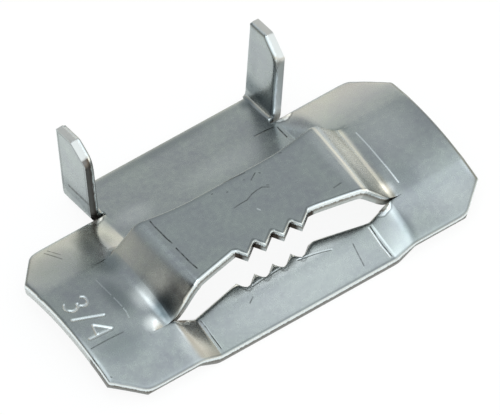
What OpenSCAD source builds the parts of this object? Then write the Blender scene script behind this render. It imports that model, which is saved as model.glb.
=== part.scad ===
// Strapping buckle with two ears, stamped and folded from one sheet of steel.
// X runs along the buckle, the band passes along Y, and Z is up. The buckle rests on
// the front edge of its bar and the rear edge of its tongue, and the origin lies on
// that level, under the middle of its outline.

/* [Band] */
// Width of the strapping band
band_w = 19.05; // [15.9:0.05:25.4]
// Side play of the band between the ears
band_play = 0.95; // [0.4:0.05:2]

/* [Sheet] */
// Thickness of the sheet
sheet_t = 1.1; // [0.8:0.05:1.25]
// Radius that the press leaves along the upper edges
edge_roll = 0.3; // [0.1:0.05:0.4]
// Gap between the two edges of a cut
cut_gap = 0.1; // [0.04:0.02:0.2]

/* [Wings] */
// Length of a wing beyond the band channel
wing_l = 11.5; // [9:0.25:16]
// Width of the wings, front to rear
wing_w = 20.3; // [19:0.1:22]
// Radius of the wings' arched upper face
arch_r = 23.8; // [20:0.2:40]
// Length of a cut-off corner, along the buckle
corner_l = 3.05; // [1.5:0.05:4]
// Width of a cut-off front corner
front_corner_w = 2.45; // [1:0.05:3.5]
// Width of a cut-off rear corner
rear_corner_w = 3.65; // [1:0.05:4]

/* [Bridge] */
// Height of the flat top of the bridge above the crown of the wings
bridge_rise = 3.05; // [2:0.05:3.6]
// Distance from the end of the flat top to the side of the band channel
bridge_inset = 0.65; // [0:0.05:1.5]
// Widening of the bridge towards the rear, on each side, for each mm along the band
bridge_flare = 0.05; // [0:0.01:0.08]
// Length of a ramp of the bridge, seen from above
bridge_ramp_l = 4.5; // [4:0.1:4.8]
// Length of the two cuts beyond the band channel, on the left
left_cut_l = 5; // [4.5:0.1:6.5]
// Length of the two cuts beyond the band channel, on the right
right_cut_l = 4.15; // [4.15:0.05:6.5]
// Distance from the middle of the wings to the ends of the front cut
front_cut_end = 5.45; // [4.8:0.05:6]
// Distance from the middle of the wings to the waist of the front cut
front_cut_waist = 4.35; // [3.8:0.05:4.8]
// Distance from the middle of the wings to the ends of the rear cut
rear_cut_end = 4.2; // [3.6:0.05:5]
// Distance from the middle of the wings to the waist of the rear cut
rear_cut_waist = 3.25; // [2.6:0.05:3.6]

/* [Teeth] */
// Number of teeth on the front edge of the bridge
tooth_count = 4; // [2:1:5]
// Distance from tooth to tooth
tooth_pitch = 2.1; // [1.6:0.05:2.4]
// Length of a tooth, from its root to its tip
tooth_depth = 1.1; // [0.6:0.05:1.4]
// Run of the steep flank of a tooth, along the buckle
tooth_steep = 0.65; // [0.3:0.05:1]
// Shift of the row of teeth from the middle of the bridge
tooth_shift = -0.3; // [-1:0.05:1]

/* [Bar and tongue] */
// Depth of the bar's front edge below the crown of the wings
bar_drop = 3.05; // [2.9:0.05:3.6]
// Slope of the front bar in degrees
bar_slope = 13; // [8:0.5:16]
// Slope of the tongue in degrees
tongue_slope = 9; // [6:0.5:12]
// Length of the ramps from the bar and the tongue up to the wings
bar_ramp_l = 2.7; // [2.5:0.1:3.4]
// Length of the tight crease where such a ramp leaves the bar or the tongue
crease_l = 0.3; // [0.1:0.05:0.6]
// Length of the tongue behind the wings
tongue_l = 4.5; // [4:0.1:7]

/* [Ears] */
// Height of an ear above the tongue
ear_h = 10.2; // [7:0.1:13]
// Lean of an ear out of the vertical in degrees
ear_lean = 3.8; // [0:0.2:8]
// Inner radius of the bend at the foot of an ear
ear_bend_r = 0.4; // [0.2:0.05:0.8]
// Gap between an ear and the rear edge of the wings
ear_relief = 0.2; // [0.1:0.02:0.5]
// Length by which an ear stands out behind the tongue
ear_overhang = 0.3; // [0:0.05:0.6]
// Width of the cut-off corner of an ear
ear_corner_w = 2.1; // [1:0.1:2.6]
// Height of the cut-off corner of an ear
ear_corner_h = 2; // [1:0.1:3]

/* [Hidden] */

// Places along the buckle, measured from its middle
channel_half = (band_w + band_play) / 2;
wing_end = channel_half + wing_l;
left_cut_end = channel_half + left_cut_l;
right_cut_end = channel_half + right_cut_l;
bar_foot = channel_half + bar_ramp_l;
flat_end = channel_half - bridge_inset;
shorter_cut_end = min(left_cut_end, right_cut_end);
// The ramps of the bridge end before the shorter cut does
ramp_l = min(bridge_ramp_l, shorter_cut_end - flat_end - bridge_flare * rear_cut_end);
bridge_foot = flat_end + ramp_l;
fold_start = channel_half - ear_bend_r;
tooth_first = tooth_shift - tooth_count * tooth_pitch / 2;
tooth_reach = tooth_count * tooth_pitch / 2 + abs(tooth_shift);

// Places along the band, measured from the middle of the wings
wing_half = wing_w / 2;
tongue_rear = wing_half + tongue_l;
ear_rear = tongue_rear + ear_overhang;
ear_front = wing_half + ear_relief;

// Outermost points along the band: the bar's rolled edge and the feet of the ears
outline_front = edge_roll * sin(bar_slope) - wing_half;
outline_rear = ear_rear + ear_bend_r * sin(tongue_slope) * (1 - sin(ear_lean));

// Height of the crown of the wings above the table, and of the tongue's rear edge below it
crown_z = bar_drop + sheet_t * cos(bar_slope);
tongue_drop = crown_z - sheet_t * cos(tongue_slope);

// Share of a ramp, or of the curve to the waist, that each of its two bends takes
bridge_bend = 0.33;
bar_bend = 0.35;
crease_bend = crease_l / bar_ramp_l;
waist_bend = 0.5;
// Length over which a cut opens at its ends, and over which its edges begin to roll
cut_opening_l = 1;
cut_roll_l = shorter_cut_end - flat_end;
// Share of the full roll that the toothed edge and the edges of the rear cut have
tooth_roll = 0.5;
rear_cut_roll = 0.4;

// The ear's fold: its angle, its length along the inner face and the straight length above it
fold_angle = 90 - ear_lean;
fold_l = ear_bend_r * fold_angle * PI / 180;
ear_straight = (ear_h - ear_bend_r) / cos(ear_lean);
ear_end = fold_start + fold_l + ear_straight;
ear_corner_start = ear_end - ear_corner_h;

// The sheet is laid out as four strips that the cuts and the tongue's root part
BAR = "bar";
BRIDGE = "bridge";
REAR = "rear";
TONGUE = "tongue";
STRIPS = [BAR, BRIDGE, REAR, TONGUE];
// Distances from a rolled edge, in parts of its radius, at which it has rows of points
roll_steps = [0, 0.3, 1];
// Widest spacing of the lines of points on the flat parts, the ramps, the feet of the
// bridge, the wings, the cut-off corners and the ears
flat_step = 1.6;
ramp_step = 0.3;
foot_step = 0.5;
wing_step = 1.8;
corner_step = 0.9;
ear_step = 3;
// Number of steps round the fold at the foot of an ear and round a crease
fold_steps = 6;
crease_steps = 3;
// Closest spacing of the lines of points along the buckle
line_merge = 0.02;
// Step for measuring the slope of the sheet
probe = 0.01;

function mix(a, b, share) = a + (b - a) * share;
function clamp(value) = min(1, max(0, value));
function spread(a, b, step) =
    let (n = max(1, ceil((b - a) / step)))
    [for (i = [0 : n]) mix(a, b, i / n)];
function reversed(list) = [for (i = [len(list) - 1 : -1 : 0]) list[i]];
function sorted(list) =
    len(list) < 2 ? list :
    let (pivot = list[floor(len(list) / 2)])
    concat(
        sorted([for (v = list) if (v < pivot) v]),
        [for (v = list) if (v == pivot) v],
        sorted([for (v = list) if (v > pivot) v]));
function thinned(list) =
    [for (i = [0 : len(list) - 1]) if (i == 0 || list[i] - list[i - 1] > line_merge) list[i]];

// Share of a ramp's height reached at t from 0 to 1: a straight slope between two bends
function climb(t, first, last) =
    let (u = clamp(t), slope = 2 / (2 - first - last))
    u < first ? slope * u * u / (2 * first) :
    u > 1 - last ? 1 - slope * (1 - u) * (1 - u) / (2 * last) :
    slope * (u - first / 2);

// Upper face of the wings, the bar and the tongue below the crown, along the band
function arch_z(y) = sqrt(arch_r * arch_r - y * y) - arch_r;
function bar_z(y) = (y + wing_half) * tan(bar_slope) - bar_drop;
function tongue_z(y) = (tongue_rear - y) * tan(tongue_slope) - tongue_drop;

function sheet_z(strip, x, y) =
    strip == BRIDGE
        ? mix(arch_z(y), bridge_rise,
              climb((bridge_foot + bridge_flare * y - abs(x)) / ramp_l, bridge_bend, bridge_bend))
        : mix(arch_z(y), strip == BAR ? bar_z(y) : tongue_z(y),
              climb((bar_foot - abs(x)) / bar_ramp_l, bar_bend, crease_bend));

// A point of the upper face and the direction square to the sheet there
function flat_skin(strip, x, y) =
    let (dx = sheet_z(strip, x + probe, y) - sheet_z(strip, x - probe, y),
         dy = sheet_z(strip, x, y + probe) - sheet_z(strip, x, y - probe),
         up = [-dx, -dy, 2 * probe])
    [[x, y, sheet_z(strip, x, y)], up / norm(up)];

// The same beyond the fold, where u is the length along the tongue and up the ear
function ear_skin(u, y) =
    let (side = sign(u),
         beyond = abs(u) - fold_start,
         angle = min(fold_angle, beyond / fold_l * fold_angle),
         floor_up = [0, sin(tongue_slope), cos(tongue_slope)],
         up = cos(angle) * floor_up - [side * sin(angle), 0, 0],
         foot = [side * fold_start, y, tongue_z(y)],
         rise = [side * sin(ear_lean), 0, cos(ear_lean)])
    [foot + ear_bend_r * (floor_up - up) + max(0, beyond - fold_l) * rise, up];

function skin(strip, u, y) =
    strip != TONGUE ? flat_skin(strip, u, y) :
    abs(u) > fold_start ? ear_skin(u, y) :
    flat_skin(REAR, u, y);

// Outline of the wings with their cut-off corners
function wing_edge(x, corner_w) =
    wing_half - corner_w * clamp((abs(x) - wing_end + corner_l) / corner_l);

// The two cuts, with the row of teeth in the front one
function tooth(x) =
    let (along = x - tooth_first, place = along - tooth_pitch * floor(along / tooth_pitch))
    along < 0 || along >= tooth_count * tooth_pitch ? 0 :
    tooth_depth * (place < tooth_steep ? place / tooth_steep
                                       : (tooth_pitch - place) / (tooth_pitch - tooth_steep));
function front_cut(x) =
    -mix(front_cut_waist, front_cut_end,
         clamp((abs(x) - tooth_reach) / (channel_half - tooth_reach))) - tooth(x);
function rear_cut(x) =
    mix(rear_cut_end, rear_cut_waist,
        climb((bridge_foot - abs(x)) / channel_half, waist_bend, waist_bend));
function to_cut_end(x) = (x < 0 ? left_cut_end : right_cut_end) - abs(x);
function cut_open(x) = clamp(to_cut_end(x) / cut_opening_l);
function cut_roll(x) = climb(to_cut_end(x) / cut_roll_l, 1, 0);
function half_gap(x) = cut_open(x) * cut_gap / 2;

// Front and rear edge of a strip, whether each is a free edge, and its share of the full roll
function front_edge(strip, u) =
    strip == BAR ? -wing_edge(u, front_corner_w) :
    strip == BRIDGE ? front_cut(u) + half_gap(u) :
    strip == REAR ? rear_cut(u) + half_gap(u) :
    abs(u) > fold_start ? ear_front + ear_corner_w * clamp((abs(u) - ear_corner_start) / ear_corner_h) :
    wing_half;
function rear_edge(strip, u) =
    strip == BAR ? front_cut(u) - half_gap(u) :
    strip == BRIDGE ? rear_cut(u) - half_gap(u) :
    strip == REAR ? wing_edge(u, rear_corner_w) :
    abs(u) > fold_start ? ear_rear :
    tongue_rear;
function beyond_fold(u) = abs(u) > fold_start ? 1 : 0;
function front_free(strip, u) =
    strip == BAR ? 1 : strip == TONGUE ? beyond_fold(u) : cut_open(u);
function rear_free(strip, u) =
    strip == TONGUE ? 1 : strip == REAR ? beyond_fold(u) : cut_open(u);
function front_roll(strip, u) =
    strip == BRIDGE ? tooth_roll * cut_roll(u) :
    strip == REAR ? rear_cut_roll * cut_roll(u) :
    front_free(strip, u);
function rear_roll(strip, u) =
    strip == BAR ? cut_roll(u) :
    strip == BRIDGE ? rear_cut_roll * cut_roll(u) :
    rear_free(strip, u);
function to_end(strip, u) = (strip == TONGUE ? ear_end : wing_end) - abs(u);

// Lines of points across one side of the buckle, closer where the sheet bends
function side_lines(cut_end) = concat(
    spread(tooth_reach, flat_end, flat_step),
    spread(flat_end, bridge_foot, ramp_step),
    spread(bridge_foot, cut_end, foot_step),
    spread(cut_end, wing_end - corner_l, wing_step),
    spread(wing_end - corner_l, wing_end - edge_roll, corner_step),
    [for (step = roll_steps) wing_end - step * edge_roll],
    spread(channel_half, channel_half + crease_l, crease_l / crease_steps),
    [fold_start, bar_foot, cut_end - cut_opening_l]);
tooth_lines = [for (i = [0 : tooth_count - 1])
    each [tooth_first + i * tooth_pitch, tooth_first + i * tooth_pitch + tooth_steep]];
sheet_lines = thinned(sorted(concat(
    side_lines(right_cut_end), -side_lines(left_cut_end),
    tooth_lines, [tooth_first + tooth_count * tooth_pitch])));
// Lines of points beyond the fold, up to the end of an ear
ear_lines = thinned(sorted(concat(
    [for (u = spread(fold_start, fold_start + fold_l, fold_l / fold_steps)) if (u > fold_start) u],
    spread(fold_start + fold_l, ear_corner_start, ear_step),
    spread(ear_corner_start, ear_end - edge_roll, corner_step),
    [for (step = roll_steps) ear_end - step * edge_roll])));
tongue_lines = concat(
    -reversed(ear_lines), [for (x = sheet_lines) if (abs(x) <= fold_start) x], ear_lines);
function lines(strip) = strip == TONGUE ? tongue_lines : sheet_lines;

// Depth of a rolled edge below the upper face, at a distance from that edge
function roll(distance) =
    distance >= edge_roll ? 0 :
    edge_roll - sqrt(max(0, edge_roll * edge_roll - (edge_roll - distance) * (edge_roll - distance)));

// Rows of points between the rolled edges of a strip
function inner_rows(strip) = strip == BRIDGE ? 5 : strip == REAR ? 4 : strip == BAR ? 3 : 2;

// Section of a strip on one line: its upper face from front to rear, then its lower face back
function section(strip, u) =
    let (a = front_edge(strip, u),
         b = rear_edge(strip, u),
         n = inner_rows(strip),
         inner = [for (i = [0 : n + 1]) mix(a + edge_roll, b - edge_roll, i / (n + 1))],
         upper = concat(
             [for (i = [0 : len(roll_steps) - 2]) a + roll_steps[i] * edge_roll],
             inner,
             [for (i = [len(roll_steps) - 2 : -1 : 0]) b - roll_steps[i] * edge_roll]),
         lower = concat([b], reversed([for (i = [1 : n]) inner[i]]), [a]))
    concat(
        [for (y = upper)
            let (s = skin(strip, u, y),
                 sink = max(front_roll(strip, u) * roll(y - a), rear_roll(strip, u) * roll(b - y),
                            roll(to_end(strip, u))))
            s[0] - s[1] * sink],
        [for (y = lower)
            let (s = skin(strip, u, y))
            s[0] - s[1] * sheet_t]);

function upper_count(strip) = inner_rows(strip) + 2 * len(roll_steps);
function section_count(strip) = upper_count(strip) + inner_rows(strip) + 2;

// Walls between two neighbouring lines are left out where two strips run into each other
function has_wall(strip, k, u, v) =
    k == section_count(strip) - 1 ? max(front_free(strip, u), front_free(strip, v)) > 0 :
    k == upper_count(strip) - 1 ? max(rear_free(strip, u), rear_free(strip, v)) > 0 :
    true;

// End face of a strip: a ladder between its two faces, with a fan under each rolled edge
function end_face(strip) =
    let (n = inner_rows(strip), c = section_count(strip), r = len(roll_steps))
    concat(
        [for (k = [0 : r - 1]) [c - 1, k, k + 1]],
        [for (i = [1 : n - 1])
            let (k = r - 1 + i)
            each [[c - 1 - i, k, k + 1], [c - 1 - i, k + 1, c - 2 - i]]],
        [[c - 1, r, c - 2]],
        [for (k = [r - 1 + n : 2 * r - 2 + n]) [c - 2 - n, k, k + 1]],
        [[c - 1 - n, r - 1 + n, c - 2 - n]]);

function strip_points(strip) = [for (u = lines(strip)) each section(strip, u)];
function strip_faces(strip, first) =
    let (n = section_count(strip), us = lines(strip), last = first + (len(us) - 1) * n)
    concat(
        [for (t = end_face(strip)) each [[for (k = reversed(t)) first + k], [for (k = t) last + k]]],
        [for (i = [0 : len(us) - 2], k = [0 : n - 1])
            if (has_wall(strip, k, us[i], us[i + 1]))
            let (here = first + i * n, there = here + n, next = (k + 1) % n)
            each [[here + k, here + next, there + next], [here + k, there + next, there + k]]]);
function strip_first(i) =
    i == 0 ? 0 : strip_first(i - 1) + len(lines(STRIPS[i - 1])) * section_count(STRIPS[i - 1]);

// The whole folded sheet: wings, toothed bridge, bar, tongue and ears
module buckle() {
    color("#8f9a98")
        translate([0, -(outline_front + outline_rear) / 2, crown_z])
            polyhedron(
                points = [for (strip = STRIPS) each strip_points(strip)],
                faces = [for (i = [0 : len(STRIPS) - 1]) each strip_faces(STRIPS[i], strip_first(i))],
                convexity = 8);
}

buckle();
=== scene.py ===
"""Strapping buckle: the pressed and folded steel sheet with its finish, and a small studio to show it."""

import math

import bmesh
import bpy
from bpy.props import FloatProperty, FloatVectorProperty, IntProperty, PointerProperty
from mathutils import Matrix, Vector
from mathutils.bvhtree import BVHTree


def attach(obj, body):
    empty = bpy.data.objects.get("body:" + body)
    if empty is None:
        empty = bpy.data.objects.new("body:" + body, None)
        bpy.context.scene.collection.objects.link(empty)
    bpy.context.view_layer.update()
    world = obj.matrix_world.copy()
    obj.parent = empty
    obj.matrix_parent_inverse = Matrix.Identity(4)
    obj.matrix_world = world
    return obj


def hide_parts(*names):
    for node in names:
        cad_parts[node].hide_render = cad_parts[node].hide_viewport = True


bl_info = {
    "name": "Strapping Buckle",
    "version": (1, 0, 0),
    "blender": (4, 5, 0),
    "location": "3D View > Sidebar > Buckle",
    "description": "Finishes a pressed strapping buckle and sets up a studio for it",
    "category": "Object",
}

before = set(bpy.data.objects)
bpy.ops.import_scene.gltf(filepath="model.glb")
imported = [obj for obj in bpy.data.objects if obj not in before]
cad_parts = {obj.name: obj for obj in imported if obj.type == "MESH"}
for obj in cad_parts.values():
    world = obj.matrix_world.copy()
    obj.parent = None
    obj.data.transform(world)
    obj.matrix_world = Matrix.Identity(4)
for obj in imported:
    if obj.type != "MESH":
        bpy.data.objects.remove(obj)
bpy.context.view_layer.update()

MM = 0.001
UP = Vector((0.0, 0.0, 1.0))
LEFT = Vector((-1.0, 0.0, 0.0))

# The middle of the wings' crown, from which the places below are measured in mm to the right, rear and top
CROWN = Vector((0.0, -2.46296, 4.12181)) * MM
SHEET_T = 1.1 * MM

# The stretch of the sheet that holds the two cuts, and a line on the bridge between them
CUT_END = 15.2
CUT_FRONT = -7.0
CUT_REAR = 5.0
BRIDGE_MIDDLE = 1.0
# The straight parts of the front cut, the block that holds the bridge's teeth, and the walls of its notches
FRONT_CUT = -5.45
TEETH = ((-4.8, 4.4), (-5.9, -3.9), (1.5, 3.3))
NOTCH_WALLS = (-5.2, -4.9)
# The stretches over which the left ramp's front edge, which the cut drew down, goes down and comes up again
DROOP_RISE = (-15.0, -13.0)
DROOP_FALL = (-9.6, -11.5)
# The outline's front edge, the left wing's front corner, and the rear edge and height of the tongue
OUTLINE_FRONT = -8.6
LEFT_CORNER = (-18.0, -4.5)
TONGUE_REAR = 13.2
TONGUE_TOP = -2.0
# The ears: their front edge, how far out and how low they reach, and the zones of their wear and painted
# shade
EAR_FRONT = 10.35
EAR_START = EAR_FRONT - 1.0
EAR_SIDES = (10.3, 13.5)
EAR_BOTTOM = -4.0
EAR_EDGE = (EAR_FRONT - 0.4, EAR_FRONT + 0.6)
EAR_EDGE_BOTTOM = -3.0
LEFT_EAR_END = -13.0
EAR_RIM_START = EAR_FRONT - 0.5
EAR_SHADE_START = EAR_FRONT - 0.3
EAR_SHADE_BOTTOM = -1.9
EAR_SHADE_FADE = (1.2, -1.0)

# Merging the CAD triangles: the gap that is closed, and how far faces may bend and skew in one of four sides
MERGE_GAP = 1e-7
QUAD_BEND = math.radians(60)
QUAD_SKEW = math.radians(75)
# Edges that stay sharp: all above the first angle, and corners of the walls and teeth above the second
SHARP_ANGLE = math.radians(50)
CORNER_ANGLE = math.radians(20)
# Edges flatter than this are shaded smooth
SHADE_ANGLE = math.radians(40)
# A face turned this far one way counts as facing it, for the sheet's lower side and for pressed lines
LOWER_FACING = 0.55
PRESS_FACING = 0.5

# How often edges near a pressed line are halved at most, and how short they get beside its half width
REFINE_PASSES = 5
FINE_SHARE = 0.7
# A pressed line's section in half widths: its reach, its groove's steepness, and its lip's place and spread
PRESS_REACH = 2.2
GROOVE_POWER = 1.2
LIP_PLACE = 1.35
LIP_SPREAD = 0.3
# The fold of an ear is this much wider than the other lines
FOLD_SPREAD = 2.5

# Burnishing and painted highlight on each kind of edge, and the distances from a cut's end over which it
# comes in
BURNISH_AND_HIGHLIGHT = {"tongue": 0.3, "ear": 0.75, "outline": 1.0, "outline_front": 1.05, "front_cut": 1.5,
           "rear_cut": 0.0}
CUT_FADE = (1.0, 4.5)
RIM_REACH = 0.6 * MM
# A face that lies deeper in the thickness than this share is a wall
WALL_SHARE = 0.3
# How dark the walls of the long edges and of the left ear's front are, beside those of the notches
# The dark of the notches and the long edges is torn steel with painted shade
LONG_EDGE_DARK = 0.6
EAR_EDGE_DARK = 0.8
# How far the rear cut's edge and the ears' feet, left and right, get painted shade, and a soft spot's core
REAR_CUT_SHADE = 0.7
EAR_FOOT_SHADE = (0.5, 0.9)
SPOT_CORE = 0.2

# The marks' points were picked in the photograph and turned into mm through the fitted camera.
# A round stroke has a point at each step of so many degrees.
ARC_STEP = 30


def arc(middle, radius, first, last):
    """The points of a round stroke from one angle to another, in degrees."""
    count = math.ceil((last - first) / ARC_STEP)
    angles = [math.radians(first + (last - first) * i / count) for i in range(count + 1)]
    return [(middle[0] + radius * math.cos(angle), middle[1] + radius * math.sin(angle)) for angle in angles]


# Strokes of the stamped band width, three quarters, read from the front of the left wing
STAMP_STROKES = (
    arc((-19.70, 1.20), 0.67, 133, 347),
    arc((-18.56, 1.07), 0.58, 180, 426),
    ((-20.63, -0.31), (-17.76, -1.49)),
    ((-20.43, -3.00), (-18.04, -3.13), (-19.32, -1.91), (-19.61, -3.06)),
)
# Forming die lines, bright as burnishing and painted highlight: one by the bridge's right foot, fainter at
# left
DIE_LINES = (((14.62, 2.90), (14.58, 1.21), (14.51, -0.87), (14.49, -2.54), (14.46, -4.30)),)
FAINT_LINES = (
    ((-15.93, 2.48), (-15.91, 1.18), (-15.86, 0.08)),
    ((-15.84, -0.40), (-15.80, -0.98), (-15.79, -1.60)),
    ((-15.80, -1.90), (-15.82, -2.40), (-15.98, -3.06)),
)
# Lines pressed hard over the die, dark with dirt and painted shade: on the bridge, beside the bar, at the
# right ear
CREASES = (
    ((-9.09, 3.28), (-9.12, 2.57), (-9.06, 1.64), (-9.03, 0.71), (-8.92, -0.11)),
    ((-8.95, -0.83), (-8.89, -2.06), (-8.85, -2.99), (-8.72, -3.97)),
    ((-9.79, -5.94), (-9.75, -6.81), (-9.80, -7.87), (-9.78, -9.40)),
    ((9.94, -6.00), (9.90, -6.88), (9.84, -8.30), (9.93, -9.55)),
    ((7.45, 9.51), (8.60, 9.50), (9.49, 9.41)),
    ((9.78, 9.16), (9.72, 7.42)),
)
# Bright scores along the rear edge of the bar, beside its right crease and on the bridge
SCORES = (
    ((-3.40, -5.49), (-2.15, -5.37), (-0.59, -5.30), (0.60, -5.26)),
    ((1.90, -5.40), (3.44, -5.64), (4.45, -5.86), (5.32, -6.12)),
    ((9.72, -6.05), (9.69, -6.90), (9.64, -8.30), (9.72, -9.60)),
    ((0.06, -1.40), (0.20, -1.70)),
)
# Scuffs on the bridge, on the bar and on the left wing
SCUFFS = (
    ((-1.68, -0.04), (-0.94, 0.03), (-0.12, 0.04), (0.69, 0.37), (1.36, 0.49), (1.96, 0.51), (2.50, 0.13)),
    ((-0.72, 3.12), (0.48, 3.02), (1.61, 2.90)),
    ((1.60, 1.82), (2.40, 2.30)),
    ((1.02, 2.24), (1.12, 2.20)),
    ((2.72, 2.10), (2.80, 2.02)),
    ((7.47, -3.50), (8.40, -3.42)),
    ((-1.14, 1.94), (-1.04, 1.92)),
    ((-2.46, 2.57), (-2.36, 2.55)),
    ((2.46, 0.45), (2.62, 0.36)),
    ((5.66, 2.97), (5.86, 2.90)),
    ((7.44, -6.69), (7.24, -7.79), (7.02, -9.10)),
    ((-4.05, -6.47), (-4.66, -6.85)),
    ((-17.36, 9.10), (-16.69, 7.07)),
    ((-16.93, 9.20), (-16.41, 7.70)),
    ((-21.02, -7.24), (-20.96, -7.34)),
    ((-20.95, -3.93), (-19.05, -3.93), (-17.30, -4.02)),
)
# The fold on the left ear's outer side, a line of painted shade, as lengths along the band and heights
EAR_FOLD = (((10.56, -0.20), (13.75, -0.69)),)
# Soft pale places: a middle, a reach along and across, and a strength. Most are painted highlights and
# painted sheen where the metal would mirror light, and some are places that the die rubs bright.
SHEEN_AND_RUBBED = (
    ((-13.4, -1.9), (1.7, 1.9), 0.75),
    ((-12.0, -2.0), (1.6, 2.0), 0.4),
    ((-14.3, -4.7), (1.4, 1.2), 0.95),
    ((12.9, -4.3), (1.3, 1.0), 1.0),
    ((-12.1, -8.2), (2.0, 3.0), 0.4),
    ((0.0, -8.0), (14.0, 3.4), 0.26),
    ((0.0, -5.6), (10.0, 0.9), 0.6),
    ((11.8, -0.5), (1.1, 8.0), 0.45),
    ((9.6, -0.5), (1.2, 8.0), 0.25),
    ((17.0, 1.5), (4.5, 4.5), 0.25),
    ((18.6, -8.2), (4.5, 2.2), 0.2),
    ((-7.6, 8.2), (3.0, 1.8), 0.25),
    ((3.0, 8.2), (7.0, 2.2), 0.15),
)
# Soft dark places in the same form: mostly painted shade and dark reflections, with some stains
STAINS_AND_SHADE = (
    ((-12.7, -4.1), (1.6, 2.0), 1.0),
    ((-18.2, -5.2), (3.6, 2.6), 0.4),
    ((-15.6, -0.4), (1.5, 3.6), 0.5),
    ((-13.9, 3.4), (1.8, 2.0), 0.6),
    ((-14.0, 7.4), (1.4, 2.5), 0.5),
    ((-18.0, 7.2), (5.0, 3.0), 0.35),
    ((-12.2, 6.9), (1.4, 1.8), 0.4),
    ((15.4, -4.2), (2.0, 2.4), 0.3),
    ((12.5, -8.2), (1.0, 2.6), 0.5),
    ((0.0, 14.4), (14.0, 1.6), 0.5),
    ((9.4, 13.8), (1.2, 1.2), 0.7),
)

# Sizes in mm of the steel's mottle, of the clouds under it, of its skin and of the streaks on a torn edge.
# The skin of a rolled sheet is finer than 0.1 mm, and is drawn as coarse as it needs to show.
MOTTLE = 0.6
CLOUDS = 4.0
SKIN = 0.3
STREAKS = 0.15
STREAK_STRETCH = (1.0, 1.0, 0.15)
PATTERN_ROUGHNESS = 0.6
# How ragged a torn edge is, as a share of the thickness, and how dark the line of painted shade inside the
# rim is
RAGGED = 0.4
ROLL_SHADE = 0.45
# Roughness of burnished and torn metal, and how far the mottle moves that of the rolled face
POLISH_ROUGHNESS = 0.25
TORN_ROUGHNESS = 0.38
ROUGHNESS_SPREAD = 0.03

# How much of the white glow the camera and the metal see on the floor
GLOW = {"Is Camera Ray": 0.9, "Is Glossy Ray": 0.1}
# The ways in which the lights and the dark door of the room lie
ROOM = {"window": (-0.45, -0.3, 0.84), "skylight": (-0.1, 0.05, 0.99), "door": (-0.9, 0.13, 0.42),
        "warm_lamp": (0.8, 0.0, 0.58)}
WARM = "#fff6e4"
COOL = "#f2fbff"
# Places, turns and colours of the two softboxes, which stand at the right
OVERHEAD = {"place": (0.159, 0.012, 0.265), "turn": (0.0, 0.0, 0.0), "code": "#eef6ff"}
REAR = {"place": (0.14, 0.30, 0.11), "turn": (-math.pi / 2, 0.0, 0.0), "code": "#fff8ec"}
# Width of the camera's sensor in mm
SENSOR_W = 36.0


def linear(code):
    """Turns an sRGB hex colour into linear red, green and blue."""
    parts = [int(code[i:i + 2], 16) / 255 for i in (1, 3, 5)]
    return [part / 12.92 if part <= 0.04045 else ((part + 0.055) / 1.055) ** 2.4 for part in parts]


class PressedSheetSettings(bpy.types.PropertyGroup):
    """Sizes of the fine press work on the sheet."""

    smooth_levels: IntProperty(
        name="Smoothing", description="Times that the sheet's faces are divided", default=2, min=0, max=2)
    stamp_depth: FloatProperty(
        name="Stamp Depth", description="Depth of the stamped number", default=0.08 * MM,
        unit="LENGTH", precision=5)
    stamp_width: FloatProperty(
        name="Stamp Width", description="Width of a stamped stroke", default=0.32 * MM,
        unit="LENGTH", precision=5)
    droop: FloatProperty(
        name="Ramp Droop", description="How far the cut drew down the front edge of the left ramp",
        default=0.35 * MM, unit="LENGTH", precision=5)
    droop_reach: FloatProperty(
        name="Droop Reach", description="Width of the edge that the cut drew down", default=2.6 * MM,
        unit="LENGTH", precision=5)
    line_depth: FloatProperty(
        name="Line Depth", description="Depth of the lines left by the die", default=0.015 * MM,
        unit="LENGTH", precision=6)
    line_width: FloatProperty(
        name="Line Width", description="Width of the lines left by the die", default=0.2 * MM,
        unit="LENGTH", precision=5)


class SteelSettings(bpy.types.PropertyGroup):
    """Colours and gloss of the steel."""

    face: FloatVectorProperty(
        name="Rolled Face", description="Colour of the rolled faces", subtype="COLOR", size=3,
        default=linear("#aeb5b0"))
    face_worn: FloatVectorProperty(
        name="Mottle", description="Colour of the darker mottling", subtype="COLOR", size=3,
        default=linear("#9d9fa4"))
    # Colour of the rolled edges: burnishing, brightened further as a painted highlight
    rim: FloatVectorProperty(
        name="Rolled Edge", description="Colour of the burnished edges", subtype="COLOR", size=3,
        default=linear("#e1e5e6"))
    # Colour of the dark lines: dirt in creases and scuffs, and painted shade in creases, folds and the rim's
    # edge
    soil_and_shade: FloatVectorProperty(
        name="Soil", description="Colour of creases and scuffs that hold dirt", subtype="COLOR", size=3,
        default=linear("#4a4c4c"))
    # Colour of the pale spots: painted highlights and sheen, and partly places that the die rubs bright
    sheen_and_rubbed: FloatVectorProperty(
        name="Rubbed", description="Colour of the places that the die rubbed bright", subtype="COLOR",
        size=3, default=linear("#eceeec"))
    # Colour of the dark spots: mostly painted shade and dark reflections, with some stains
    stain_and_shade: FloatVectorProperty(
        name="Stain", description="Colour of the stains", subtype="COLOR", size=3,
        default=linear("#5c666a"))
    blanked: FloatVectorProperty(
        name="Blanked Edge", description="Colour of the torn part of an outer edge", subtype="COLOR",
        size=3, default=linear("#c8c8c6"))
    lanced: FloatVectorProperty(
        name="Lanced Edge", description="Colour of the torn part of an edge along a cut", subtype="COLOR",
        size=3, default=linear("#7d756b"))
    # Colour of the notches' walls: torn steel darkened as painted shade
    notch: FloatVectorProperty(
        name="Notch", description="Colour of the walls between the teeth", subtype="COLOR", size=3,
        default=linear("#463d36"))
    face_roughness: FloatProperty(
        name="Face Roughness", description="Roughness of the rolled faces", default=0.26, min=0.0, max=1.0,
        subtype="FACTOR")


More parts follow.
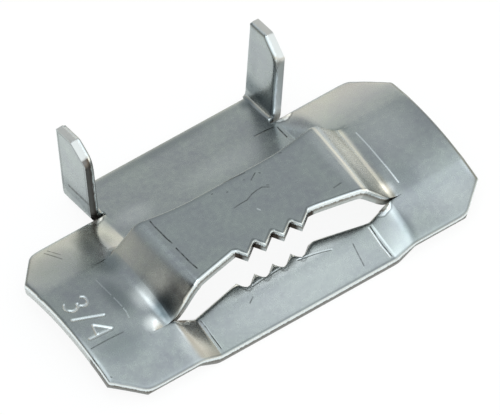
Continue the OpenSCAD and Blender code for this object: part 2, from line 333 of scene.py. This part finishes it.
class StudioSettings(bpy.types.PropertyGroup):
    """Camera, floor and light of the studio."""

    azimuth: FloatProperty(
        name="Azimuth", description="Turn of the camera to the left of the buckle's front",
        default=math.radians(34.755), subtype="ANGLE")
    elevation: FloatProperty(
        name="Elevation", description="Angle of the camera above the table",
        default=math.radians(51.214), subtype="ANGLE")
    roll: FloatProperty(
        name="Roll", description="Tilt of the camera", default=math.radians(-0.51), subtype="ANGLE")
    distance: FloatProperty(
        name="Distance", description="Distance of the camera", default=1.4, unit="LENGTH")
    lens: FloatProperty(
        name="Lens", description="Focal length of the camera in mm", default=1060.0, subtype="NONE")
    shift_right: FloatProperty(
        name="Aim Right", description="How far right of the crown the camera aims", default=0.146 * MM,
        unit="LENGTH", precision=5)
    shift_up: FloatProperty(
        name="Aim Up", description="How far above the crown the camera aims", default=1.173 * MM,
        unit="LENGTH", precision=5)
    floor: FloatVectorProperty(
        name="Floor", description="Colour of the floor", subtype="COLOR", size=3, default=linear("#f7f7f5"))
    floor_size: FloatProperty(
        name="Floor Size", description="Width of the floor", default=30.0, unit="LENGTH")
    softbox_size: FloatProperty(
        name="Softbox Size", description="Width of the overhead softbox", default=0.03, unit="LENGTH")
    softbox_depth: FloatProperty(
        name="Softbox Depth", description="Depth of the overhead softbox", default=0.03, unit="LENGTH")
    softbox_power: FloatProperty(
        name="Softbox Power", description="Power of the overhead softbox in watts", default=0.016)
    fill_size: FloatProperty(
        name="Fill Size", description="Width of the softbox at the right rear", default=0.15, unit="LENGTH")
    fill_height: FloatProperty(
        name="Fill Height", description="Height of the softbox at the right rear", default=0.16,
        unit="LENGTH")
    fill_power: FloatProperty(
        name="Fill Power", description="Power of the softbox at the right rear in watts", default=0.034)


def edit(piece):
    """Selects one piece alone and opens it in edit mode."""
    bpy.ops.object.select_all(action="DESELECT")
    piece.select_set(True)
    bpy.context.view_layer.objects.active = piece
    bpy.ops.object.mode_set(mode="EDIT")


def close_edit():
    """Goes back to object mode with nothing selected."""
    bpy.ops.object.mode_set(mode="OBJECT")
    bpy.ops.object.select_all(action="DESELECT")


def from_crown(co):
    """A place in mm from the middle of the wings' crown."""
    return (co - CROWN) / MM


def step(value, low, high):
    """Goes smoothly from 0 at low to 1 at high."""
    share = max(0.0, min(1.0, (value - low) / (high - low)))
    return share * share * (3 - 2 * share)


def is_lower(face):
    """Whether a face belongs to the sheet's lower side, which is the outer side of an ear."""
    normal = face.normal
    place = from_crown(face.calc_center_median())
    if normal.z < -LOWER_FACING:
        return True
    inner, outer = EAR_SIDES
    on_ear = place.y > EAR_START and inner < abs(place.x) < outer and place.z > EAR_BOTTOM
    return on_ear and normal.x * place.x > 0 and abs(normal.x) > LOWER_FACING


def in_teeth(place):
    """Whether a place lies in the block that holds the bridge's teeth."""
    return all(low < value < high for value, (low, high) in zip(place, TEETH))


def merged_sheet(name):
    """A copy of the CAD sheet with its triangles merged into a grid of four-sided faces."""
    piece = bpy.data.objects.new(name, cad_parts["buckle"].data.copy())
    piece.data.name = name
    bpy.context.scene.collection.objects.link(piece)
    edit(piece)
    bpy.ops.mesh.select_all(action="SELECT")
    bpy.ops.mesh.remove_doubles(threshold=MERGE_GAP)
    bpy.ops.mesh.tris_convert_to_quads(face_threshold=QUAD_BEND, shape_threshold=QUAD_SKEW)
    close_edit()
    return piece


def keep_cut_edges(piece):
    """Marks the sheet's lower side, and creases the edges of cuts and teeth that smoothing leaves sharp."""
    edit(piece)
    bpy.ops.mesh.select_all(action="DESELECT")
    bpy.ops.mesh.select_mode(type="EDGE")
    bm = bmesh.from_edit_mesh(piece.data)
    under = bm.faces.layers.float.new("under")
    lower = {face for face in bm.faces if is_lower(face)}
    for face in lower:
        face[under] = 1.0
    inner = [edge for edge in bm.edges if len(edge.link_faces) == 2]
    sharp = [edge for edge in inner if edge.calc_face_angle() > SHARP_ANGLE]
    rims = [edge for edge in sharp if sum(face in lower for face in edge.link_faces) == 1]
    walls = {face for edge in rims for face in edge.link_faces if face not in lower}
    bends = [edge for edge in inner if edge.calc_face_angle() > CORNER_ANGLE]
    corners = [edge for edge in bends if walls.issuperset(edge.link_faces)
               or all(in_teeth(from_crown(vert.co)) for vert in edge.verts)]
    for edge in sharp + corners:
        edge.select_set(True)
    bmesh.update_edit_mesh(piece.data)
    bpy.ops.transform.edge_crease(value=1.0)
    bpy.ops.mesh.select_mode(type="FACE")
    close_edit()


def smooth(piece, levels):
    """Rounds the sheet's bends and rolled edges."""
    if levels:
        piece.modifiers.new("Smooth", "SUBSURF")
        piece.modifiers["Smooth"].levels = levels
        piece.modifiers["Smooth"].render_levels = levels
        bpy.context.view_layer.objects.active = piece
        bpy.ops.object.modifier_apply(modifier="Smooth")


def draw_down(piece, depth, reach):
    """Draws down the front edge of the left ramp, as the cut did where the bridge leaves the wing."""
    edit(piece)
    bm = bmesh.from_edit_mesh(piece.data)
    for vert in bm.verts:
        place = from_crown(vert.co)
        inside = (place.y - FRONT_CUT) * MM / reach
        if 0 < inside < 1:
            along = step(place.x, *DROOP_RISE) * step(place.x, *DROOP_FALL)
            vert.co.z -= depth * along * (1 - inside) ** 2
    bmesh.update_edit_mesh(piece.data)
    close_edit()


def across(co, facing):
    """A place's two measures in mm on the side that faces one way."""
    place = from_crown(co)
    return place.xy if facing is UP else place.yz


def on_side(normal, co, facing):
    """Whether a point lies on the side that faces one way. The way left counts in the left half alone."""
    return normal.dot(facing) > PRESS_FACING and (facing is UP or co.x < 0)


def off_line(point, stretches):
    """Distance in mm from a point to the nearest of some straight stretches."""
    best = math.inf
    for start, end in stretches:
        along = end - start
        share = max(0.0, min(1.0, (point - start).dot(along) / along.length_squared))
        best = min(best, (point - start - along * share).length)
    return best


def refine(piece, near, longest, facing):
    """Halves edges longer than a length in mm, near some lines on one side of a piece in edit mode."""
    bpy.ops.mesh.select_mode(type="EDGE")
    for _ in range(REFINE_PASSES):
        bpy.ops.mesh.select_all(action="DESELECT")
        bm = bmesh.from_edit_mesh(piece.data)
        for edge in bm.edges:
            start, end = (vert.co for vert in edge.verts)
            length = edge.calc_length() / MM
            if (length > longest and all(on_side(face.normal, start, facing) for face in edge.link_faces)
                    and near(across((start + end) / 2, facing), length / 2)):
                edge.select_set(True)
        bmesh.update_edit_mesh(piece.data)
        bpy.ops.mesh.subdivide(number_cuts=1, smoothness=0)
    bpy.ops.mesh.select_mode(type="FACE")


def press_lines(piece, lines, depth, width, mark, lip=0.0, facing=UP):
    """Presses lines into the side that faces one way and marks them bright (above 0) or dark (below 0)."""
    stretches = [(Vector(start), Vector(end)) for line in lines for start, end in zip(line, line[1:])]
    half = width / 2 / MM
    reach = half * PRESS_REACH
    points = [point for line in lines for point in line]
    low = [min(point[i] for point in points) - reach for i in (0, 1)]
    high = [max(point[i] for point in points) + reach for i in (0, 1)]

    def near(point, spare):
        in_box = all(low[i] - spare < point[i] < high[i] + spare for i in (0, 1))
        return in_box and off_line(point, stretches) < reach + spare

    edit(piece)
    refine(piece, near, half * FINE_SHARE, facing)
    bm = bmesh.from_edit_mesh(piece.data)
    bm.normal_update()
    marks = bm.verts.layers.float.get("mark") or bm.verts.layers.float.new("mark")
    moves = []
    for vert in bm.verts:
        point = across(vert.co, facing)
        if on_side(vert.normal, vert.co, facing) and near(point, 0.0):
            away = off_line(point, stretches) / half
            sink = max(0.0, math.cos(min(away, 1.0) * math.pi / 2)) ** GROOVE_POWER
            rise = lip * math.exp(-((away - LIP_PLACE) / LIP_SPREAD) ** 2)
            moves.append((vert, vert.normal * (rise - sink) * depth, sink * mark))
    for vert, move, tone in moves:
        vert.co += move
        if abs(tone) > abs(vert[marks]):
            vert[marks] = tone
    bmesh.update_edit_mesh(piece.data)
    close_edit()


def beside_cut(place):
    """1 beside the two cuts and 0 at the outer edges."""
    return 1.0 if abs(place.x) < CUT_END and CUT_FRONT < place.y < CUT_REAR else 0.0


def on_ear_front(place):
    """1 on the front edge of the left ear and 0 elsewhere."""
    on_edge = EAR_EDGE[0] < place.y < EAR_EDGE[1] and place.z > EAR_EDGE_BOTTOM
    return 1.0 if on_edge and LEFT_EAR_END < place.x < 0 else 0.0


def on_long_edge(place):
    """1 on the outline's front edge and the tongue's rear edge, whose walls are darkened as painted shade.
    """
    at_corner = place.x < LEFT_CORNER[0] and place.y < LEFT_CORNER[1]
    at_rear = place.y > TONGUE_REAR and place.z < TONGUE_TOP
    return 1.0 if place.y < OUTLINE_FRONT or at_corner or at_rear else 0.0


def in_notch(place):
    """1 on the walls between the bridge's teeth and 0 elsewhere."""
    return step(place.y, *NOTCH_WALLS) if in_teeth(place) else 0.0


def burnish_and_highlight(place):
    """How far an edge at a place is brightened by burnishing and painted highlight."""
    if place.y > EAR_RIM_START:
        return BURNISH_AND_HIGHLIGHT["tongue" if place.z < TONGUE_TOP else "ear"]
    if not beside_cut(place):
        return BURNISH_AND_HIGHLIGHT["outline_front" if place.y < OUTLINE_FRONT else "outline"]
    cut = "rear_cut" if place.y > BRIDGE_MIDDLE else "front_cut"
    return BURNISH_AND_HIGHLIGHT[cut] * step(CUT_END - abs(place.x), *CUT_FADE)


def soft(place, spots):
    """How far a place is touched by the soft spots in a list."""
    most = 0.0
    for (x, y), (reach_x, reach_y), strength in spots:
        away = math.hypot((place.x - x) / reach_x, (place.y - y) / reach_y)
        most = max(most, strength * step(away, 1.0, SPOT_CORE))
    return most


def ear_foot_shade(place):
    """How far the lower part of an ear is darkened as painted shade, more towards the bottom."""
    if place.y < EAR_SHADE_START or place.z < EAR_SHADE_BOTTOM:
        return 0.0
    left, right = EAR_FOOT_SHADE
    return (left if place.x < 0 else right) * step(place.z, *EAR_SHADE_FADE)


def stain_and_shade_at(place, near):
    """Stains and painted shade at a place, and shade along the rear cut, where near is how near its edge is.
    """
    behind_cut = beside_cut(place) and place.y > BRIDGE_MIDDLE
    return max(soft(place, STAINS_AND_SHADE), ear_foot_shade(place), REAR_CUT_SHADE * near if behind_cut else 0.0)


def measure_edges(piece):
    """Stores at each point how deep in the thickness and how near an edge it lies, and how it is worn."""
    mesh = piece.data
    bm = bmesh.new()
    bm.from_mesh(mesh)
    bm.verts.ensure_lookup_table()
    under = bm.faces.layers.float["under"]
    points = [vert.co.copy() for vert in bm.verts]
    lower = [[vert.index for vert in face.verts] for face in bm.faces if face[under] > 0.5]
    upper = [[vert.index for vert in face.verts] for face in bm.faces if face[under] < 0.5]
    bm.free()
    tree = BVHTree.FromPolygons(points, lower)
    through = [1.0 - min(1.0, tree.find_nearest(point)[3] / SHEET_T) for point in points]
    walls = [face for face in upper if sum(through[i] for i in face) / len(face) > WALL_SHARE]
    tree = BVHTree.FromPolygons(points, walls)
    near = [max(0.0, 1.0 - tree.find_nearest(point)[3] / RIM_REACH) for point in points]
    places = [from_crown(point) for point in points]
    stored = {
        "through": through,
        "rim": [share * burnish_and_highlight(place) for share, place in zip(near, places)],
        "cut": [max(beside_cut(place), on_ear_front(place), on_long_edge(place)) for place in places],
        "notch": [max(in_notch(place), LONG_EDGE_DARK * on_long_edge(place),
                      EAR_EDGE_DARK * on_ear_front(place)) for place in places],
        # Pale spots: painted highlights and sheen, partly die rubbing
        "sheen_and_rubbed": [soft(place, SHEEN_AND_RUBBED) for place in places],
        # Stains and painted shade: dark spots, the ears' feet and the rear cut's edge
        "stain_and_shade": [stain_and_shade_at(place, share) for share, place in zip(near, places)],
    }
    for name, values in stored.items():
        mesh.attributes.new(name, "FLOAT", "POINT").data.foreach_set("value", values)


def node(tree, kind, inputs=None, **settings):
    """Adds a shader node with its settings, and gives each input a value or a link.

    An input that is given a node is linked to that node's first live output.
    """
    new = tree.nodes.new("ShaderNode" + kind)
    for name, value in settings.items():
        setattr(new, name, value)
    for key, value in (inputs or {}).items():
        if isinstance(value, bpy.types.Node):
            value = next(socket for socket in value.outputs if socket.enabled)
        if isinstance(value, bpy.types.NodeSocket):
            tree.links.new(value, new.inputs[key])
        else:
            new.inputs[key].default_value = value
    return new


def rolled_steel(settings):
    """Cold-rolled, plated sheet steel, blanked and folded in a press.

    The rolls leave a satin grey with a faint mottle. The upper edges are burnished, with a painted
    highlight, and the press tears the lower part of each cut edge: pale on the outline, dark and rough along
    the lanced cuts.
    """
    material = bpy.data.materials.new("cold_rolled_plated_steel")
    material.use_nodes = True
    tree = material.node_tree
    tree.nodes.clear()
    stored = ("through", "rim", "under", "mark", "sheen_and_rubbed", "stain_and_shade", "cut", "notch")
    edge = {name: node(tree, "Attribute", attribute_name=name).outputs["Fac"] for name in stored}
    place = node(tree, "TexCoord").outputs["Object"]
    upright = node(tree, "Mapping", {"Vector": place, "Scale": STREAK_STRETCH})

    # Fine mottle on wide clouds, a finer skin, and streaks that run through the thickness
    pattern = {}
    for name, vector, size, detail in (("mottle", place, MOTTLE, 4.0), ("clouds", place, CLOUDS, 2.0),
                                       ("skin", place, SKIN, 3.0), ("streaks", upright, STREAKS, 2.0)):
        pattern[name] = node(tree, "TexNoise", {"Vector": vector, "Scale": 1 / (size * MM), "Detail": detail,
                                                "Roughness": PATTERN_ROUGHNESS}).outputs["Fac"]
    waves = node(tree, "Math", {0: pattern["streaks"], 1: RAGGED}, operation="MULTIPLY", use_clamp=True)
    depth = node(tree, "Math", {0: edge["through"], 1: waves}, operation="ADD")

    # Shares that go from one value to another while their source goes from low to high
    satin = settings.face_roughness
    share = {}
    for name, source, low, high, first, last in (
            ("mottle", pattern["mottle"], 0.25, 0.75, 0.0, 1.0),
            ("clouds", pattern["clouds"], 0.3, 0.7, 0.0, 1.0),
            ("satin", pattern["mottle"], 0.3, 0.7, satin - ROUGHNESS_SPREAD, satin + ROUGHNESS_SPREAD),
            ("patchy_stain_and_shade", pattern["mottle"], 0.2, 0.6, 0.7, 1.0),
            ("patchy_soil_and_shade", pattern["mottle"], 0.3, 0.55, 0.35, 1.0),
            # Rims: burnishing with a painted highlight
            ("rim_burnish_and_highlight", edge["rim"], 0.6, 0.78, 0.0, 1.0),
            # Where the face turns into the rim: a thin line of painted shade
            ("roll_shade_from", edge["rim"], 0.25, 0.45, 0.0, 1.0),
            ("roll_shade_to", edge["rim"], 0.65, 0.55, 0.0, 1.0),
            ("bright_line", edge["mark"], 0.1, 0.7, 0.0, 1.0),
            ("dark_line", edge["mark"], -0.1, -0.7, 0.0, 1.0),
            ("lower_part", depth, 0.5, 0.62, 0.0, 1.0),
            ("rubbed_below", edge["through"], 0.4, 0.75, 0.0, 1.0)):
        share[name] = node(tree, "MapRange", {"Value": source, "From Min": low, "From Max": high,
                                              "To Min": first, "To Max": last})
    # Rims and torn walls keep off the lower side, and the mottle breaks up stains, dirt and painted shade
    for name, kind, first, second in (
            ("polish_and_highlight", "SUBTRACT", share["rim_burnish_and_highlight"], edge["under"]),
            ("torn", "SUBTRACT", share["lower_part"], edge["under"]),
            ("stain_and_shade", "MULTIPLY", edge["stain_and_shade"], share["patchy_stain_and_shade"]),
            ("soil_and_shade", "MULTIPLY", share["dark_line"], share["patchy_soil_and_shade"]),
            ("inside", "MULTIPLY", share["roll_shade_from"], share["roll_shade_to"])):
        share[name] = node(tree, "Math", {0: first, 1: second}, operation=kind, use_clamp=True)
    # A thin line of painted shade runs where the face turns into the rim, and the streaks show on torn walls
    roll_shade = node(tree, "Math", {0: share["inside"], 1: ROLL_SHADE}, operation="MULTIPLY", use_clamp=True)
    tears = node(tree, "Math", {0: pattern["streaks"], 1: share["torn"]}, operation="MULTIPLY",
                 use_clamp=True)

    # The mottled face with rubbing and painted sheen, stains and painted shade, then edges, then tool lines
    tone = node(tree, "Mix", {"Factor": 0.5, "A": share["mottle"], "B": share["clouds"]})
    colour = (*settings.face_worn, 1.0)
    for factor, over in (
            (tone, settings.face), (edge["sheen_and_rubbed"], settings.sheen_and_rubbed), (share["stain_and_shade"], settings.stain_and_shade),
            (roll_shade, settings.soil_and_shade), (share["polish_and_highlight"], settings.rim),
            (share["bright_line"], settings.rim), (share["soil_and_shade"], settings.soil_and_shade)):
        colour = node(tree, "Mix", {"Factor": factor, "A": colour, "B": (*over, 1.0)}, data_type="RGBA")
    # A lanced wall is dark where it tore and pale below, where the punch wore it, and painted shade darkens
    # the notches
    wall = (*settings.lanced, 1.0)
    for factor, over in ((share["rubbed_below"], settings.blanked), (edge["notch"], settings.notch)):
        wall = node(tree, "Mix", {"Factor": factor, "A": wall, "B": (*over, 1.0)}, data_type="RGBA")
    blanked = (*settings.blanked, 1.0)
    wall = node(tree, "Mix", {"Factor": edge["cut"], "A": blanked, "B": wall}, data_type="RGBA")
    colour = node(tree, "Mix", {"Factor": share["torn"], "A": colour, "B": wall}, data_type="RGBA")

    rough = share["satin"]
    for factor, value in ((share["polish_and_highlight"], POLISH_ROUGHNESS), (share["torn"], TORN_ROUGHNESS)):
        rough = node(tree, "Mix", {"Factor": factor, "A": rough, "B": value})
    skin = node(tree, "Bump", {"Height": pattern["skin"], "Strength": 0.06, "Distance": 0.02 * MM})
    relief = node(tree, "Bump", {"Height": tears, "Strength": 0.3, "Distance": 0.05 * MM, "Normal": skin})
    steel = node(tree, "BsdfPrincipled",
                 {"Base Color": colour, "Metallic": 1.0, "Roughness": rough, "Normal": relief})
    node(tree, "OutputMaterial", {"Surface": steel})
    return material


class BUCKLE_OT_pressed_sheet(bpy.types.Operator):
    """Make the pressed and folded sheet with its stamped number, die lines and finish"""

    bl_idname = "buckle.pressed_sheet"
    bl_label = "Pressed Sheet"

    def execute(self, context):
        press = context.scene.buckle_press
        depth = press.line_depth
        width = press.line_width
        piece = merged_sheet("pressed_sheet")
        keep_cut_edges(piece)
        smooth(piece, press.smooth_levels)
        draw_down(piece, press.droop, press.droop_reach)
        # The stamp's strokes, die lines and scores are bright partly from burnishing, partly as painted
        # highlight
        press_lines(piece, STAMP_STROKES, press.stamp_depth, press.stamp_width, mark=0.5, lip=0.12)
        # Creases and the ear's fold are darkened with dirt and painted shade, and scuffs with dirt
        press_lines(piece, CREASES, depth, width, mark=-1.0)
        press_lines(piece, EAR_FOLD, depth, width * FOLD_SPREAD, mark=-1.6, facing=LEFT)
        press_lines(piece, SCUFFS, 0.0, width, mark=-0.6)
        press_lines(piece, DIE_LINES, depth, width, mark=0.9, lip=0.3)
        press_lines(piece, FAINT_LINES, depth, width, mark=0.3, lip=0.3)
        press_lines(piece, SCORES, depth, width, mark=0.6, lip=0.3)
        measure_edges(piece)
        piece.data.materials.clear()
        piece.data.materials.append(rolled_steel(context.scene.buckle_steel))
        bpy.ops.object.select_all(action="DESELECT")
        piece.select_set(True)
        context.view_layer.objects.active = piece
        bpy.ops.object.shade_smooth_by_angle(angle=SHADE_ANGLE)
        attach(piece, "root")
        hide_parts("buckle")
        return {"FINISHED"}


def white_board(settings):
    """Matt white studio board.

    It looks white to the camera but for the soft shadow on it, and the metal reflects mostly the lit board.
    """
    material = bpy.data.materials.new("matt_white_board")
    material.use_nodes = True
    tree = material.node_tree
    tree.nodes.clear()
    rays = node(tree, "LightPath").outputs
    to_camera, to_metal = (node(tree, "Math", {0: rays[ray], 1: part}, operation="MULTIPLY")
                           for ray, part in GLOW.items())
    share = node(tree, "Math", {0: to_camera, 1: to_metal}, operation="ADD")
    board = node(tree, "BsdfDiffuse", {"Color": (*settings.floor, 1.0)})
    glow = node(tree, "Emission", {"Color": (1.0, 1.0, 1.0, 1.0), "Strength": 1.0})
    mixed = node(tree, "MixShader", {0: share, 1: board, 2: glow})
    node(tree, "OutputMaterial", {"Surface": mixed})
    return material


def lay_floor(context, settings):
    """Lays the floor that the buckle rests on."""
    bpy.ops.object.select_all(action="DESELECT")
    bpy.ops.mesh.primitive_plane_add(size=settings.floor_size, location=(0, 0, 0))
    floor = context.active_object
    floor.name = "floor"
    floor.data.materials.append(white_board(settings))


def studio_room(scene):
    """A pale room with a bright front, a dim bluish rear, a dark door at the left and a warm horizon."""
    world = bpy.data.worlds.new("studio_room")
    world.use_nodes = True
    tree = world.node_tree
    tree.nodes.clear()
    direction = node(tree, "TexCoord").outputs["Generated"]
    parts = node(tree, "SeparateXYZ", {0: direction}).outputs
    cosine = {name: node(tree, "VectorMath", {0: direction, 1: Vector(way).normalized()},
                         operation="DOT_PRODUCT").outputs["Value"] for name, way in ROOM.items()}
    # Strengths that go from one value to another while their source goes from low to high
    light = {}
    for name, source, low, high, first, last in (
            ("lifted", parts["Z"], 0.1, 0.55, 0.0, 1.0),
            ("rear_to_front", parts["Y"], 0.5, 0.1, 0.6, 0.88),
            ("front_wall", parts["Y"], -0.15, -0.55, 0.0, 0.7),
            ("window", cosine["window"], 0.82, 0.96, 0.0, 0.9),
            ("skylight", cosine["skylight"], 0.92, 0.98, 0.0, 1.4),
            ("horizon", parts["X"], 0.2, 0.9, 1.0, 1.8),
            ("past_door", cosine["door"], 0.92, 0.98, 1.0, 0.08),
            ("past_lamp", cosine["warm_lamp"], 0.9, 0.98, 1.0, 0.0)):
        light[name] = node(tree, "MapRange", {"Value": source, "From Min": low, "From Max": high,
                                              "To Min": first, "To Max": last},
                           interpolation_type="SMOOTHSTEP")
    # The upper room with a window at the left and a skylight, over a horizon that is brighter at the right
    upper = light["rear_to_front"]
    for name in ("front_wall", "window", "skylight"):
        upper = node(tree, "Math", {0: upper, 1: light[name]}, operation="ADD")
    room = node(tree, "Mix", {"Factor": light["lifted"], "A": light["horizon"], "B": upper})
    power = node(tree, "Math", {0: room, 1: light["past_door"]}, operation="MULTIPLY")
    # Cool light from above, but for a warm lamp high at the right
    cool = node(tree, "Math", {0: light["lifted"], 1: light["past_lamp"]}, operation="MULTIPLY")
    hue = node(tree, "Mix", {"Factor": cool, "A": (*linear(WARM), 1.0), "B": (*linear(COOL), 1.0)},
               data_type="RGBA")
    sky = node(tree, "Background", {"Color": hue, "Strength": power})
    node(tree, "OutputWorld", {"Surface": sky})
    scene.world = world


def softbox(scene, name, size, power, place, turn, code):
    """Adds a soft rectangular lamp."""
    lamp = bpy.data.lights.new(name, "AREA")
    lamp.shape = "RECTANGLE"
    lamp.size = size[0]
    lamp.size_y = size[1]
    lamp.energy = power
    lamp.color = linear(code)
    box = bpy.data.objects.new(name, lamp)
    scene.collection.objects.link(box)
    box.location = place
    box.rotation_euler = turn


def aim_camera(scene, settings):
    """Sets the camera at the photograph's viewing angle."""
    turn = settings.azimuth
    lift = settings.elevation
    back = Vector((-math.sin(turn) * math.cos(lift), -math.cos(turn) * math.cos(lift), math.sin(lift)))
    level = Vector((math.cos(turn), -math.sin(turn), 0.0))
    tilt = Matrix.Rotation(settings.roll, 3, back)
    right = tilt @ level
    up = tilt @ back.cross(level)
    eye = CROWN + settings.shift_right * right + settings.shift_up * up + settings.distance * back
    camera = bpy.data.objects.new("camera", bpy.data.cameras.new("camera"))
    scene.collection.objects.link(camera)
    camera.data.lens = settings.lens
    camera.data.sensor_width = SENSOR_W
    camera.matrix_world = Matrix.Translation(eye) @ Matrix((right, up, back)).transposed().to_4x4()
    scene.camera = camera


class BUCKLE_OT_studio(bpy.types.Operator):
    """Set up the floor, the light and the camera"""

    bl_idname = "buckle.studio"
    bl_label = "Studio"

    def execute(self, context):
        scene = context.scene
        studio = scene.buckle_studio
        scene.view_settings.view_transform = "Standard"
        lay_floor(context, studio)
        studio_room(scene)
        overhead_size = (studio.softbox_size, studio.softbox_depth)
        softbox(scene, "overhead_softbox", overhead_size, studio.softbox_power, **OVERHEAD)
        softbox(scene, "rear_softbox", (studio.fill_size, studio.fill_height), studio.fill_power, **REAR)
        aim_camera(scene, studio)
        return {"FINISHED"}


class BUCKLE_PT_panel(bpy.types.Panel):
    """Settings and steps of the buckle"""

    bl_idname = "BUCKLE_PT_panel"
    bl_label = "Strapping Buckle"
    bl_space_type = "VIEW_3D"
    bl_region_type = "UI"
    bl_category = "Buckle"

    def draw(self, context):
        for group, action in (("buckle_press", "buckle.pressed_sheet"), ("buckle_steel", None),
                              ("buckle_studio", "buckle.studio")):
            settings = getattr(context.scene, group)
            box = self.layout.box()
            for name in settings.bl_rna.properties.keys():
                if name not in ("rna_type", "name"):
                    box.prop(settings, name)
            if action:
                box.operator(action)


GROUPS = {
    "buckle_press": PressedSheetSettings,
    "buckle_steel": SteelSettings,
    "buckle_studio": StudioSettings,
}
CLASSES = (*GROUPS.values(), BUCKLE_OT_pressed_sheet, BUCKLE_OT_studio, BUCKLE_PT_panel)


def register():
    """Registers the classes and gives the scene its groups of settings."""
    for cls in CLASSES:
        bpy.utils.register_class(cls)
    for name, group in GROUPS.items():
        setattr(bpy.types.Scene, name, PointerProperty(type=group))


def unregister():
    """Takes back what register did."""
    for name in GROUPS:
        delattr(bpy.types.Scene, name)
    for cls in reversed(CLASSES):
        bpy.utils.unregister_class(cls)


def main():
    """Makes the sheet and the studio."""
    register()
    bpy.ops.buckle.pressed_sheet()
    bpy.ops.buckle.studio()


if __name__ == "__main__":
    main()
